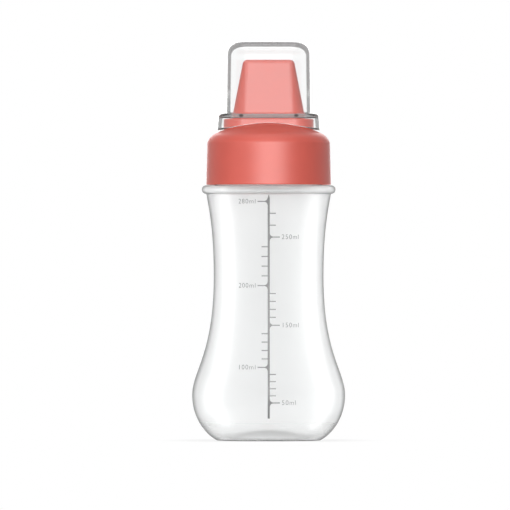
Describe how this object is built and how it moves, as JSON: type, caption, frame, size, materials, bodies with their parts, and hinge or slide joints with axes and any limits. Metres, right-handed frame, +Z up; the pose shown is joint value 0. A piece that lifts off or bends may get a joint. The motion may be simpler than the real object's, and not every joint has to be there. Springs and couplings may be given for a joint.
{
  "type": "squeeze sauce bottle",
  "caption": "Translucent waisted squeeze bottle with a screw collar, an oblong wedge nozzle with a row of outlets, and a clear push-on dust cover.",
  "frame": {"origin": "centre of the ring that the bottle stands on", "axes": "+Z up along the bottle's axis, the measuring scale faces -Y, the nozzle's row of outlets lies along X"},
  "size_m": [0.073, 0.073, 0.19],
  "materials": {
    "translucent_bottle": "milky translucent, satin",
    "coral_collar": "satin moulded",
    "coral_nozzle": "satin moulded",
    "silicone": "soft matt",
    "clear_cover": "clear, glossy"
  },
  "bodies": {
    "bottle_body": {"bottle": "translucent_bottle"},
    "seal": {"sealing_ring": "silicone"},
    "cap": {"screw_collar": "coral_collar", "nozzle": "coral_nozzle"},
    "cover": {"dust_cover": "clear_cover"}
  },
  "joints": [
    {"name": "cap_lift", "type": "slide", "parent": "bottle_body", "child": "seal", "axis": [0, 0, 1], "range_m": [0, 0.0075]},
    {"name": "cap_turn", "type": "hinge", "parent": "seal", "child": "cap", "pos_m": [0, 0, 0.1218], "axis": [0, 0, 1], "range_deg": [0, 540]},
    {"name": "cover_pull", "type": "slide", "parent": "cap", "child": "cover", "axis": [0, 0, 1], "range_m": [0, 0.05]}
  ],
  "couplings": [
    {"joint": "cap_lift", "follows": "cap_turn", "m_per_rad": 0.00079577}
  ]
}
